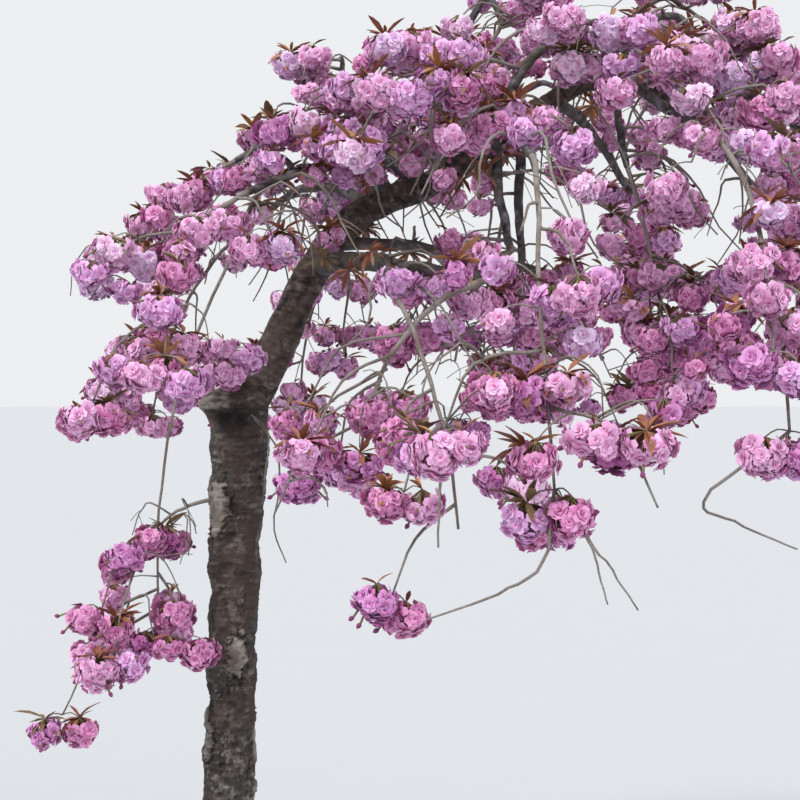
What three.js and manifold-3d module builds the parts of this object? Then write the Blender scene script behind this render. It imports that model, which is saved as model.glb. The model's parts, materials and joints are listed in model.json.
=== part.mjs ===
import * as THREE from 'three';
import { mergeVertices } from 'three/addons/utils/BufferGeometryUtils.js';
import Module from 'manifold-3d';

// A weeping cherry in full double blossom, grafted high on a straight stem.
// Millimetres, +Z up. The origin is on the ground, at the middle of the trunk's foot.
// +X is to the right in the front view and +Y to the back. An azimuth is an angle in degrees,
// turned from +X towards +Y, and a pitch is an angle in degrees above the level.

const CLEARANCE = 0.3; // between a limb's end and what carries it
const MASS_GAP = 2; // between the growth of two masses, and between growth and limbs

// Trunk
const TRUNK_HEIGHT = 1650;
const TRUNK_LEAN = 60; // how far the top stands towards +X of the foot
const TRUNK_BOW = 9;
const TRUNK_RADIUS = 57;
const TRUNK_SIDES = 12;
const TRUNK_RINGS = [0, 30, 75, 140, 250, 450, 680, 910, 1130, 1300, 1410, 1480, 1525, 1560, 1590];
const STUMP_RINGS = [[1618, 0.86], [1639, 0.6], [TRUNK_HEIGHT, 0.25]]; // heights and shares of the radius
const FLARE = 34; // how far the roots spread past the trunk at the ground
const FLARE_HEIGHT = 105;
const ROOTS = 5;
const BARK_WAVE = { size: 2.5, height: 190 };
const UNION_HEIGHT = 1585; // the graft union, where the crown's one limb leaves the stem
const UNION_SWELL = { size: 7, below: 25, half: 190 };
const LIP = { size: 15, below: 0, half: 60 }; // the shoulder of old bark that overhangs on the left
const SCAR = { size: 13, below: 60, half: 55, azimuth: -60 }; // the hollow under it
const SPUR = { height: 1375, azimuth: 192, pitch: -8, radius: 6 }; // where a sprig leaves the trunk's left

// Main limb, from inside the union to the far end of its arch
const MAIN_ROUTE = [
  [62, 0, 1585],
  [140, 4, 1717],
  [222, 14, 1892],
  [316, 26, 2021],
  [405, 32, 2072],
  [508, 28, 2112],
  [600, 14, 2187],
  [737, 0, 2266],
  [880, -14, 2344],
  [985, -30, 2338],
  [1090, -45, 2290],
];
const MAIN_NAMES = ['main_limb_lower', 'main_limb_upper', 'main_limb_arch'];
const MAIN_SPLITS = [0, 0.43, 0.73, 1]; // shares of the route where one length ends and the next starts
const MAIN_RADII = [44, 33, 25, 14]; // at those places
const MAIN_STEPS = 5;
const MAIN_SIDES = 9;

// Crown: an upright axis that it is spread about, and its reach from there
const CROWN_AXIS = 760;
const CROWN_REACH = 1200;

// Boughs, named by where they reach. leaves is the share of the parent's length where one springs.
// The tip is at an azimuth from the crown's axis, a share of its reach out, and a height.
const BOUGH_STEPS = 6;
const BOUGH_SIDES = 5;
const SKIRT = { parent: 'main', out: 0.62, crest: 110, thick: 15, thin: 8 };
const LOW = { ...SKIRT, leaves: 0.27, out: 0.45, crest: 20, thick: 25, thin: 11 };
const SHOULDER = { leaves: 0.42, out: 0.34, crest: 120, thick: 11, thin: 7 };
const SHOOT = { leaves: 0.42, crest: 60, thick: 7, thin: 5 };
const HANG = { ...SHOOT, leaves: 0.7, crest: 130 };
const INNER = { parent: 'main', out: 0.15, crest: -60, thick: 14, thin: 8 };
const BOUGHS = {
  bough_right: { ...SKIRT, leaves: 0.97, azimuth: 4, height: 2110, crest: 60, thick: 13 },
  bough_right_back: { ...SKIRT, leaves: 0.88, azimuth: 34, height: 2130 },
  bough_back_right: { ...SKIRT, leaves: 0.74, azimuth: 64, height: 2150, thick: 17 },
  bough_back: { ...SKIRT, leaves: 0.57, azimuth: 93, height: 2130, crest: 150, thick: 19 },
  bough_back_left: { ...SKIRT, leaves: 0.44, azimuth: 124, height: 2090, thick: 17 },
  bough_left_back: { ...SKIRT, leaves: 0.4, azimuth: 153, height: 2080 },
  bough_left: { ...SKIRT, leaves: 0.5, azimuth: 175, out: 0.6, height: 2170, crest: 150, thick: 14 },
  bough_left_front: { ...SKIRT, leaves: 0.45, azimuth: 209, height: 2040, thick: 14 },
  bough_front: { ...SKIRT, leaves: 0.62, azimuth: 264, height: 2060, crest: 130, thick: 17 },
  bough_front_right: { ...SKIRT, leaves: 0.79, azimuth: 291, height: 2110 },
  bough_right_front: { ...SKIRT, leaves: 0.92, azimuth: 327, height: 2120, crest: 90, thick: 14 },
  bough_low_front: { ...LOW, azimuth: 254, height: 1850 },
  bough_low_back: { ...LOW, leaves: 0.31, azimuth: 84, out: 0.3, height: 1930, crest: 40, thick: 15 },
  shoulder_back: { ...SHOULDER, parent: 'bough_back', azimuth: 78, height: 2400 },
  shoulder_back_left: { ...SHOULDER, parent: 'bough_back_left', azimuth: 140, height: 2320 },
  shoulder_left: { ...SHOULDER, parent: 'bough_left_front', leaves: 0.3, azimuth: 200, height: 2320 },
  shoulder_front_left: { ...SHOULDER, parent: 'main', leaves: 0.56, azimuth: 238, height: 2340 },
  shoulder_front: { ...SHOULDER, parent: 'bough_front', azimuth: 284, height: 2380 },
  shoulder_front_right: { ...SHOULDER, parent: 'bough_front_right', azimuth: 317, height: 2410 },
  crest_loop: { ...SHOULDER, parent: 'main', leaves: 0.53, azimuth: 215, out: 0.1, height: 2480, crest: 300 },
  crest_top: { ...SHOULDER, parent: 'main', leaves: 0.84, azimuth: 16, out: 0.3, height: 2550 },
  shoot_left: { ...SHOOT, parent: 'bough_left', azimuth: 178, out: 0.39, height: 2400 },
  arch_droop: { ...SHOULDER, parent: 'main', leaves: 0.87, azimuth: -10, out: 0.17, height: 2140, crest: 10 },
  inner_front: { ...INNER, leaves: 0.65, azimuth: 245, height: 1940 },
  inner_back: { ...INNER, leaves: 0.7, azimuth: 100, height: 1920 },
  hang_left: { ...HANG, parent: 'bough_left_front', azimuth: 192, out: 0.6, height: 1930 },
  hang_low: { ...SHOULDER, parent: 'bough_low_front', azimuth: 240, out: 0.56, height: 1810, crest: 40 },
};

// Masses of blossom, one for each limb's tip. run is the length of the stem that it is built on and
// fall the pitch that the stem ends at. bare is the share of the stem with nothing on it, spread how
// far a twig can reach and lift the pitch that the first ones set out at. sway is how far growth
// wanders. hang says how far a ball of blossom sits above its twig, in shares of its radius.
const TWIGGY = { bare: 0.05, twigs: 5, spread: 270, lift: 30, sway: 12, hang: -0.3, size: 1 };
const MASS = { ...TWIGGY, run: 620, fall: -84 };
const HIGH = { ...TWIGGY, run: 330, fall: -35, spread: 230, lift: 55, hang: 0.3, size: 0.8 };
const MASSES = {
  main_limb_arch: { ...HIGH, run: 260 },
  bough_right: MASS,
  bough_right_back: MASS,
  bough_back_right: MASS,
  bough_back: MASS,
  bough_back_left: MASS,
  bough_left_back: MASS,
  bough_left: { ...MASS, run: 330, fall: -60, spread: 220, hang: 0 },
  bough_left_front: { ...MASS, run: 370 },
  bough_front: { ...MASS, run: 750 },
  bough_front_right: { ...MASS, run: 690, facing: 276 },
  bough_right_front: { ...MASS, run: 700 },
  bough_low_front: { ...MASS, run: 500, facing: 205, size: 0.85 },
  bough_low_back: { ...MASS, run: 430, twigs: 4 },
  shoulder_back: HIGH,
  shoulder_back_left: HIGH,
  shoulder_left: HIGH,
  shoulder_front_left: HIGH,
  shoulder_front: HIGH,
  shoulder_front_right: HIGH,
  crest_loop: { ...HIGH, run: 160 },
  crest_top: HIGH,
  shoot_left: { ...HIGH, run: 80, spread: 100, lift: 20, twigs: 1 },
  arch_droop: { ...MASS, run: 430 },
  inner_front: { ...MASS, run: 330, twigs: 4 },
  inner_back: { ...MASS, run: 380 },
  hang_left: { ...MASS, run: 860, fall: -94, bare: 0.7, spread: 280, lift: 30, size: 0.8 },
  hang_low: { ...MASS, run: 560, facing: 296, bare: 0.4, spread: 230, size: 0.85 },
  trunk_spur: { ...MASS, run: 170, fall: -50, bare: 0.6, spread: 70, twigs: 1, size: 0.6 },
};
const FIRST_SEED = 11;
const STEM_STRAIGHT = 14; // a stem's first length, in line with its limb
const STEM_STEPS = 4;
const STEM_SIDES = 4;
const STEM_SHARE = 0.9; // of its limb's thickness
const TWIG_RADII = [5, 3.5]; // at its foot and its end
const TWIG_SIDES = 3;
const TWIG_STEPS = 2;
const TWIG_FALL = -75; // the pitch that a twig ends at
const TWIG_TRIES = 90;
const EVEN_SPREAD = 0.618; // places along the stem go round by this share, so they come out even

// Each ball stands for a spray of hanging double flowers
const BALL_RADIUS = 72;
const BALL_SQUASH = 0.82;
const BALL_APART = 1.75; // least distance between two balls, in radii
const LEAF_EVERY = 7; // balls
const LEAF = { length: 104, width: 34, thick: 3.4, sunk: 30 };

const COLOURS = {
  trunk: { color: 0x6f655b, roughness: 0.93 },
  limb: { color: 0x564d48, roughness: 0.9 },
  bough: { color: 0x6a6562, roughness: 0.86 },
  blossom: { color: 0xdf8fc0, roughness: 0.8 },
};

const wasm = await Module();
wasm.setup();

const tree = new THREE.Group();
const limbs = {};
const masses = [];

// Small helpers

const point = (x, y, z) => new THREE.Vector3(x, y, z);

const radians = (degrees) => THREE.MathUtils.degToRad(degrees);

const degrees = (angle) => THREE.MathUtils.radToDeg(angle);

function heading(azimuth, pitch) {
  const level = Math.cos(radians(pitch));
  return point(
    Math.cos(radians(azimuth)) * level,
    Math.sin(radians(azimuth)) * level,
    Math.sin(radians(pitch)),
  );
}

// Numbers that look random but are the same each time for one seed
function seeded(seed) {
  let state = Math.imul(seed, 2654435761) >>> 0;
  return (low, high) => {
    state = (Math.imul(state, 1664525) + 1013904223) >>> 0;
    return low + (high - low) * (state / 4294967296);
  };
}

// A smooth hump of height 1 at a centre, gone beyond its half width
function hump(value, centre, half) {
  const off = Math.abs(value - centre) / half;
  return off < 1 ? 0.5 + 0.5 * Math.cos(Math.PI * off) : 0;
}

// A place and the way on from it, at a share of a line's length
function along(line, share) {
  const lengths = [0];
  for (let i = 1; i < line.length; i += 1) {
    lengths.push(lengths[i - 1] + line[i].distanceTo(line[i - 1]));
  }
  const wanted = share * lengths[lengths.length - 1];
  let i = 1;
  while (i < line.length - 1 && lengths[i] < wanted) i += 1;
  return line[i - 1].clone().lerp(line[i], (wanted - lengths[i - 1]) / (lengths[i] - lengths[i - 1]));
}

// How far a place is from a line, or from the bark of the rod that tapers along it
function awayFrom(place, line, startRadius = 0, endRadius = 0) {
  let nearest = Infinity;
  const steps = line.length - 1;
  for (let i = 0; i < steps; i += 1) {
    const run = line[i + 1].clone().sub(line[i]);
    const offset = place.clone().sub(line[i]);
    const t = THREE.MathUtils.clamp(offset.dot(run) / run.lengthSq(), 0, 1);
    const radius = startRadius + ((endRadius - startRadius) * (i + t)) / steps;
    nearest = Math.min(nearest, offset.addScaledVector(run, -t).length() - radius);
  }
  return nearest;
}

// Solids

function solidFrom(vertices, triangles) {
  return new wasm.Manifold(new wasm.Mesh({
    numProp: 3,
    vertProperties: new Float32Array(vertices),
    triVerts: new Uint32Array(triangles),
  }));
}

// A closed skin over rings of points that turn left about the way up the rings
function skin(rings) {
  const sides = rings[0].length;
  const top = (rings.length - 1) * sides;
  const vertices = rings.flat().flatMap((corner) => [corner.x, corner.y, corner.z]);
  const triangles = [];
  for (let r = 0; r < top; r += sides) {
    for (let k = 0; k < sides; k += 1) {
      const a = r + k;
      const b = r + ((k + 1) % sides);
      triangles.push(a, b, b + sides, a, b + sides, a + sides);
    }
  }
  for (let k = 1; k < sides - 1; k += 1) {
    triangles.push(0, k + 1, k, top, top + k, top + k + 1);
  }
  return solidFrom(vertices, triangles);
}

// A rod that tapers along a line, with its ends cut square. A grown rod is what must be kept clear
// round the real one: it is fatter and runs on past the tip.
function rod(line, startRadius, endRadius, sides, grow = 0) {
  const last = line.length - 1;
  let side = null;
  return skin(line.map((corner, i) => {
    const way = line[Math.min(i + 1, last)].clone().sub(line[Math.max(i - 1, 0)]).normalize();
    const centre = corner.clone().addScaledVector(way, i === last ? grow : 0);
    const guide = side ?? (Math.abs(way.z) < 0.8 ? point(0, 0, 1) : point(1, 0, 0));
    side = guide.clone().addScaledVector(way, -guide.dot(way)).normalize();
    const other = way.clone().cross(side);
    const radius = startRadius + ((endRadius - startRadius) * i) / last + grow;
    return Array.from({ length: sides }, (unused, k) => {
      const turn = (2 * Math.PI * k) / sides;
      return centre.clone()
        .addScaledVector(side, radius * Math.cos(turn))
        .addScaledVector(other, radius * Math.sin(turn));
    });
  }));
}

function solidOf(geometry) {
  geometry.deleteAttribute('normal');
  geometry.deleteAttribute('uv');
  const merged = mergeVertices(geometry);
  return solidFrom(merged.getAttribute('position').array, merged.getIndex().array);
}

// A cut can leave loose scraps: the piece that counts is the largest
function largest(solid) {
  return solid.decompose().reduce((best, body) => (body.volume() > best.volume() ? body : best));
}

function addNode(name, solid, finish) {
  const mesh = largest(solid).getMesh();
  const geometry = new THREE.BufferGeometry();
  geometry.setAttribute('position', new THREE.BufferAttribute(Float32Array.from(mesh.vertProperties), 3));
  geometry.setIndex(new THREE.BufferAttribute(Uint32Array.from(mesh.triVerts), 1));
  geometry.computeVertexNormals();
  const material = new THREE.MeshStandardMaterial({ ...COLOURS[finish], metalness: 0 });
  const node = new THREE.Mesh(geometry, material);
  node.name = name;
  tree.add(node);
}

// Trunk

function trunkCentre(z) {
  const share = z / TRUNK_HEIGHT;
  return point(TRUNK_LEAN * share ** 0.8, TRUNK_BOW * Math.sin(Math.PI * share), z);
}

function trunkRadius(z, turn) {
  const atUnion = ({ size, below, half }) => size * hump(z, UNION_HEIGHT - below, half);
  const roots = 0.5 + 0.5 * Math.cos(ROOTS * turn + 0.7);
  const left = Math.max(0, -Math.cos(turn));
  const scarred = Math.max(0, Math.cos(turn - radians(SCAR.azimuth)));
  return TRUNK_RADIUS
    + FLARE * Math.exp(-z / FLARE_HEIGHT) * (0.55 + 0.45 * roots)
    + BARK_WAVE.size * Math.sin(z / BARK_WAVE.height + 2 * turn)
    + atUnion(UNION_SWELL)
    + left ** 2 * atUnion(LIP)
    - scarred ** 2 * atUnion(SCAR);
}

function trunkRing(z, share, grow) {
  return Array.from({ length: TRUNK_SIDES }, (unused, k) => {
    const turn = (2 * Math.PI * k) / TRUNK_SIDES;
    const radius = share * trunkRadius(z, turn) + grow;
    return trunkCentre(z).add(point(radius * Math.cos(turn), radius * Math.sin(turn), 0));
  });
}

function trunkSolid(grow = 0) {
  const stem = TRUNK_RINGS.map((z) => trunkRing(z, 1, grow));
  const stump = STUMP_RINGS.map(([z, share]) => trunkRing(z + grow, share, grow));
  return skin([...stem, ...stump]);
}

// The place on the trunk that the sprig springs from, as the tip of a limb with no length
function trunkSpur() {
  const way = heading(SPUR.azimuth, SPUR.pitch);
  const surface = trunkRadius(SPUR.height, radians(SPUR.azimuth)) / Math.cos(radians(SPUR.pitch));
  const tip = trunkCentre(SPUR.height).addScaledVector(way, surface + CLEARANCE);
  const line = [tip, tip.clone().add(way)];
  return { line, startRadius: 0, endRadius: SPUR.radius, tip, way };
}

// Limbs. Each is kept with its line and radii, for what grows on it and for what must miss it.

function addLimb(name, line, startRadius, endRadius, sides, finish, carriers) {
  const whole = rod(line, startRadius, endRadius, sides);
  const solid = carriers.reduce((cut, carrier) => cut.subtract(carrier), whole);
  const grown = rod(line, startRadius, endRadius, sides, CLEARANCE);
  const tip = line[line.length - 1];
  const way = tip.clone().sub(line[line.length - 2]).normalize();
  limbs[name] = { line, startRadius, endRadius, grown, tip, way };
  addNode(name, solid, finish);
}

function addMainLimb(mainLine) {
  let carrier = trunkSolid(CLEARANCE);
  MAIN_NAMES.forEach((name, i) => {
    const line = Array.from({ length: MAIN_STEPS + 1 }, (unused, k) => {
      return along(mainLine, MAIN_SPLITS[i] + ((MAIN_SPLITS[i + 1] - MAIN_SPLITS[i]) * k) / MAIN_STEPS);
    });
    addLimb(name, line, MAIN_RADII[i], MAIN_RADII[i + 1], MAIN_SIDES, 'limb', [carrier]);
    carrier = limbs[name].grown;
  });
}

// A bough springs from inside its parent and arches over to its tip, over a crest
function addBough(name, bough, mainLine) {
  const onMain = bough.parent === 'main';
  const parents = onMain ? MAIN_NAMES : [bough.parent];
  const start = along(onMain ? mainLine : limbs[bough.parent].line, bough.leaves);
  const out = heading(bough.azimuth, 0).multiplyScalar(bough.out * CROWN_REACH);
  const end = point(CROWN_AXIS + out.x, out.y, bough.height);
  const level = end.clone().sub(start).setZ(0);
  const first = start.clone().addScaledVector(level, 0.3).setZ(start.z + bough.crest);
  const second = start.clone().addScaledVector(level, 0.72).setZ(end.z + 0.5 * bough.crest);
  const line = new THREE.CubicBezierCurve3(start, first, second, end).getPoints(BOUGH_STEPS);
  const carriers = parents.map((parent) => limbs[parent].grown);
  addLimb(name, line, bough.thick, bough.thin, BOUGH_SIDES, 'bough', carriers);
}

// Room to grow in

function barkDistance(place) {
  const onTrunk = trunkCentre(THREE.MathUtils.clamp(place.z, 0, TRUNK_HEIGHT));
  const flare = place.z < 3 * FLARE_HEIGHT ? FLARE : 0;
  const offTrunk = onTrunk.distanceTo(place) - TRUNK_RADIUS - LIP.size - flare;
  return Object.values(limbs).reduce((nearest, { line, startRadius, endRadius }) => {
    return Math.min(nearest, awayFrom(place, line, startRadius, endRadius));
  }, offTrunk);
}

// Each mass keeps to the space that is nearer to its own stem than to any other mass's stem
function inOwnSpace(mass, place, radius) {
  const farthest = awayFrom(place, mass.stem) + 2 * radius + MASS_GAP;
  return masses.every((other) => other === mass || awayFrom(place, other.stem) > farthest);
}

function fits(mass, place, radius) {
  return place.z > radius && inOwnSpace(mass, place, radius) && barkDistance(place) > radius + MASS_GAP;
}

function clearRun(mass, from, to, radius) {
  const checks = Math.ceil(from.distanceTo(to) / 12);
  for (let k = 1; k <= checks; k += 1) {
    if (!fits(mass, from.clone().lerp(to, k / checks), radius)) return false;
  }
  return true;
}

// Growth

// A line that sets out at one pitch and bends over to another, swaying a little from side to side
function bend(start, azimuth, pitch, endPitch, length, steps, sway, random) {
  const line = [start.clone()];
  let facing = azimuth;
  for (let k = 0; k < steps; k += 1) {
    const share = ((k + 0.5) / steps) ** 0.75;
    facing += random(-sway, sway);
    const way = heading(facing, pitch + (endPitch - pitch) * share);
    line.push(line[k].clone().addScaledVector(way, length / steps));
  }
  return line;
}

// The stem that a mass is built on goes on from its limb's tip, turns outward and bends down
function startMass(name, rule, limb, seed) {
  const random = seeded(seed);
  const azimuth = rule.facing ?? degrees(Math.atan2(limb.tip.y, limb.tip.x - CROWN_AXIS));
  const pitch = degrees(Math.asin(limb.way.z));
  const start = limb.tip.clone().addScaledVector(limb.way, CLEARANCE);
  const bent = start.clone().addScaledVector(limb.way, STEM_STRAIGHT);
  const stem = [start, ...bend(bent, azimuth, pitch, rule.fall, rule.run, STEM_STEPS, rule.sway, random)];
  while (stem.length > 3 && barkDistance(stem[stem.length - 1]) < 2 * STEM_STRAIGHT) stem.pop();
  const radius = STEM_SHARE * limb.endRadius;
  masses.push({ name, rule, random, azimuth, stem, radius, twigs: [], balls: [], leaves: [] });
}

// A ball of blossom round a twig, and a leaf out of every few. It is left out where it would crowd
// another or leave the mass's space, and so is the leaf.
function addBall(mass, place) {
  const { random, rule, balls } = mass;
  const radius = rule.size * BALL_RADIUS * random(0.88, 1.12);
  const centre = place.clone().add(point(0, 0, rule.hang * radius));
  const apart = BALL_APART * rule.size * BALL_RADIUS;
  const crowded = balls.some((ball) => ball.centre.distanceTo(centre) < apart);
  if (crowded || !fits(mass, centre, radius)) return false;
  balls.push({ centre, radius });
  const way = heading(random(0, 360), random(5, 50));
  const root = centre.clone().addScaledVector(way, 0.75 * radius);
  const end = root.clone().addScaledVector(way, LEAF.length - LEAF.sunk);
  const due = balls.length % LEAF_EVERY === 1;
  if (due && clearRun(mass, root, end, LEAF.width / 2)) mass.leaves.push({ root, way });
  return true;
}

// A twig is kept as far as it stays clear, if it can carry blossom at its end
function addTwig(mass, share, side) {
  const { rule, random } = mass;
  const turn = side * random(20, 165 - 80 * share);
  const lift = rule.lift * (1 - share) + random(-15, 20);
  const length = rule.spread * random(0.4, 1.25);
  const foot = along(mass.stem, share);
  const twig = bend(foot, mass.azimuth + turn, lift, TWIG_FALL, length, TWIG_STEPS, rule.sway, random);
  if (!clearRun(mass, twig[0].clone().lerp(twig[1], 0.3), twig[1], TWIG_RADII[0])) return;
  if (!clearRun(mass, twig[1], twig[2], TWIG_RADII[0])) twig.pop();
  if (!addBall(mass, twig[twig.length - 1])) return;
  mass.twigs.push(twig);
  if (twig.length > 2) addBall(mass, twig[1]);
}

function fillMass(mass) {
  const { rule, stem } = mass;
  addBall(mass, stem[stem.length - 1]);
  for (let k = 0; k < TWIG_TRIES && mass.twigs.length < rule.twigs; k += 1) {
    addTwig(mass, rule.bare + (0.95 - rule.bare) * ((k * EVEN_SPREAD) % 1), k % 2 ? 1 : -1);
  }
  for (let i = stem.length - 2; i > 1 + rule.bare * STEM_STEPS; i -= 1) addBall(mass, stem[i]);
}

function ballSolid({ centre, radius }, random) {
  const ball = new THREE.IcosahedronGeometry(radius, 0);
  ball.scale(1, 1, BALL_SQUASH);
  ball.rotateX(random(-0.5, 0.5));
  ball.rotateY(random(-0.5, 0.5));
  ball.rotateZ(random(0, 2 * Math.PI));
  ball.translate(centre.x, centre.y, centre.z);
  return solidOf(ball);
}

// A pointed blade of eight faces, laid flat, with its root sunk in a ball
function leafSolid({ root, way }) {
  const leaf = new THREE.OctahedronGeometry(0.5, 0);
  leaf.scale(LEAF.length, LEAF.width, LEAF.thick);
  leaf.translate(LEAF.length / 2 - LEAF.sunk, 0, 0);
  const across = point(0, 0, 1).cross(way).normalize();
  leaf.applyMatrix4(new THREE.Matrix4().makeBasis(way, across, way.clone().cross(across)));
  leaf.translate(root.x, root.y, root.z);
  return solidOf(leaf);
}

function addMass(mass) {
  const pieces = [
    ...mass.twigs.map((twig) => rod(twig, ...TWIG_RADII, TWIG_SIDES)),
    ...mass.balls.map((ball) => ballSolid(ball, mass.random)),
    ...mass.leaves.map(leafSolid),
  ];
  const stem = rod(mass.stem, mass.radius, TWIG_RADII[0], STEM_SIDES);
  addNode(`blossom_${mass.name}`, pieces.reduce((whole, piece) => whole.add(piece), stem), 'blossom');
}

const mainLine = new THREE.CatmullRomCurve3(MAIN_ROUTE.map((corner) => point(...corner))).getPoints(40);
addNode('trunk', trunkSolid(), 'trunk');
addMainLimb(mainLine);
Object.entries(BOUGHS).forEach(([name, bough]) => addBough(name, bough, mainLine));
limbs.trunk_spur = trunkSpur();
Object.entries(MASSES).forEach(([name, rule], i) => startMass(name, rule, limbs[name], FIRST_SEED + i));
masses.forEach(fillMass);
masses.forEach(addMass);

export default tree;
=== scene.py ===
"""A weeping cherry in full double blossom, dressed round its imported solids.

Its limbs and masses are worked out by the rule of the solids, written again here, and carried on to
finer twigs, leaves and flowers. That is done in millimetres, and the meshes are made in metres.
+X is to the right in the front view and +Y to the back. Azimuths and pitches are in degrees.
"""

import json
import random
from math import asin, atan2, ceil, cos, degrees, hypot, pi, radians, sin

import bpy
import numpy as np
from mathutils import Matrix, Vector, noise

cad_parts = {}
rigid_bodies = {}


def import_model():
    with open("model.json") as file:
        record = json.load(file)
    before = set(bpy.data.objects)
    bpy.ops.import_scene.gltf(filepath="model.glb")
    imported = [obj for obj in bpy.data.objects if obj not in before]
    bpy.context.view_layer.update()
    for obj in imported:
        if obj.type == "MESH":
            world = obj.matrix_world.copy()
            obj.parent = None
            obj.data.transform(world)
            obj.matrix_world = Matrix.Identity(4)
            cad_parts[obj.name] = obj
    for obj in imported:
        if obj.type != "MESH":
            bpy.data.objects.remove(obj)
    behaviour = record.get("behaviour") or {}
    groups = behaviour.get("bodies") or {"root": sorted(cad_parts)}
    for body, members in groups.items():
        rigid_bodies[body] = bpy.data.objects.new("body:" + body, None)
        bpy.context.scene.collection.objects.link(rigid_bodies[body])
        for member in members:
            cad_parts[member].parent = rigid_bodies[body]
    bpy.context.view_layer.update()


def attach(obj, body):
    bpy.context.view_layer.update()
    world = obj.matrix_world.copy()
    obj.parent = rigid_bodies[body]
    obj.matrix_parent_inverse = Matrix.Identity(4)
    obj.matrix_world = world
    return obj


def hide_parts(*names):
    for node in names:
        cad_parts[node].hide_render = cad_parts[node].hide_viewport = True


MM = 0.001
CLEARANCE = 0.3  # between a limb's tip and the stem that grows on from it
MASS_GAP = 2  # between a mass and its neighbours
GOLDEN_TURN = 137.5
chance = random.Random(7)
uniform = chance.uniform

# Trunk, with the lip and the scar of its graft union
TRUNK_HEIGHT = 1650
TRUNK_LEAN = 60
TRUNK_BOW = 9
TRUNK_RADIUS = 57
DOME_FOOT = 1590  # where its rounded top begins
FLARE = 34
FLARE_HEIGHT = 105
ROOTS = 5
BARK_WAVE = {"size": 2.5, "height": 190}
UNION_HEIGHT = 1585
UNION_SWELL = {"size": 7, "below": 25, "half": 190}
LIP = {"size": 15, "below": 0, "half": 60}
SCAR = {"size": 13, "below": 60, "half": 55, "azimuth": -60}
SPUR = {"height": 1375, "azimuth": 192, "pitch": -8, "radius": 6}

# Main limb
MAIN_ROUTE = [
    (62, 0, 1585), (140, 4, 1717), (222, 14, 1892), (316, 26, 2021), (405, 32, 2072), (508, 28, 2112),
    (600, 14, 2187), (737, 0, 2266), (880, -14, 2344), (985, -30, 2338), (1090, -45, 2290),
]
MAIN_NAMES = ["main_limb_lower", "main_limb_upper", "main_limb_arch"]
MAIN_SPLITS = [0, 0.43, 0.73, 1]
MAIN_RADII = [44, 33, 25, 14]
MAIN_STEPS = 5


def bough(kind, leaves, azimuth, height, **others):
    return {**kind, "leaves": leaves, "azimuth": azimuth, "height": height, **others}


# Boughs, each with its kind, the share of its parent's length where it leaves, the azimuth and height of
# its tip, and what differs from its kind
CROWN_AXIS = 760
CROWN_REACH = 1200
BOUGH_STEPS = 6
BOUGH_BENDS = (0.3, 0.72)  # shares of its level run
SKIRT = {"parent": "main", "out": 0.62, "crest": 110, "thick": 15, "thin": 8}
LOW = {**SKIRT, "out": 0.45, "crest": 20, "thick": 25, "thin": 11}
SHOULDER = {"parent": "main", "out": 0.34, "crest": 120, "thick": 11, "thin": 7}
SHOOT = {"crest": 60, "thick": 7, "thin": 5}
HANG = {**SHOOT, "crest": 130}
INNER = {"parent": "main", "out": 0.15, "crest": -60, "thick": 14, "thin": 8}
BOUGHS = {
    "bough_right": bough(SKIRT, 0.97, 4, 2110, crest=60, thick=13),
    "bough_right_back": bough(SKIRT, 0.88, 34, 2130),
    "bough_back_right": bough(SKIRT, 0.74, 64, 2150, thick=17),
    "bough_back": bough(SKIRT, 0.57, 93, 2130, crest=150, thick=19),
    "bough_back_left": bough(SKIRT, 0.44, 124, 2090, thick=17),
    "bough_left_back": bough(SKIRT, 0.4, 153, 2080),
    "bough_left": bough(SKIRT, 0.5, 175, 2170, out=0.6, crest=150, thick=14),
    "bough_left_front": bough(SKIRT, 0.45, 209, 2040, thick=14),
    "bough_front": bough(SKIRT, 0.62, 264, 2060, crest=130, thick=17),
    "bough_front_right": bough(SKIRT, 0.79, 291, 2110),
    "bough_right_front": bough(SKIRT, 0.92, 327, 2120, crest=90, thick=14),
    "bough_low_front": bough(LOW, 0.27, 254, 1850),
    "bough_low_back": bough(LOW, 0.31, 84, 1930, out=0.3, crest=40, thick=15),
    "shoulder_back": bough(SHOULDER, 0.42, 78, 2400, parent="bough_back"),
    "shoulder_back_left": bough(SHOULDER, 0.42, 140, 2320, parent="bough_back_left"),
    "shoulder_left": bough(SHOULDER, 0.3, 200, 2320, parent="bough_left_front"),
    "shoulder_front_left": bough(SHOULDER, 0.56, 238, 2340),
    "shoulder_front": bough(SHOULDER, 0.42, 284, 2380, parent="bough_front"),
    "shoulder_front_right": bough(SHOULDER, 0.42, 317, 2410, parent="bough_front_right"),
    "crest_loop": bough(SHOULDER, 0.53, 215, 2480, out=0.1, crest=300),
    "crest_top": bough(SHOULDER, 0.84, 16, 2550, out=0.3),
    "shoot_left": bough(SHOOT, 0.42, 178, 2400, parent="bough_left", out=0.39),
    "arch_droop": bough(SHOULDER, 0.87, -10, 2140, out=0.17, crest=10),
    "inner_front": bough(INNER, 0.65, 245, 1940),
    "inner_back": bough(INNER, 0.7, 100, 1920),
    "hang_left": bough(HANG, 0.7, 192, 1930, parent="bough_left_front", out=0.6),
    "hang_low": bough(SHOULDER, 0.42, 240, 1810, parent="bough_low_front", out=0.56, crest=40),
}


def group_of(name):
    """The part of the crown that a mass or limb belongs to."""
    if name.startswith(("shoulder", "crest", "shoot", "main_limb")):
        return "top"
    if name.startswith(("inner", "arch", "bough_low", "hang", "trunk")):
        return "inner"
    to_front = "front" in name or name in ("bough_left", "bough_right")
    return "front" if to_front else "back"


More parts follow.
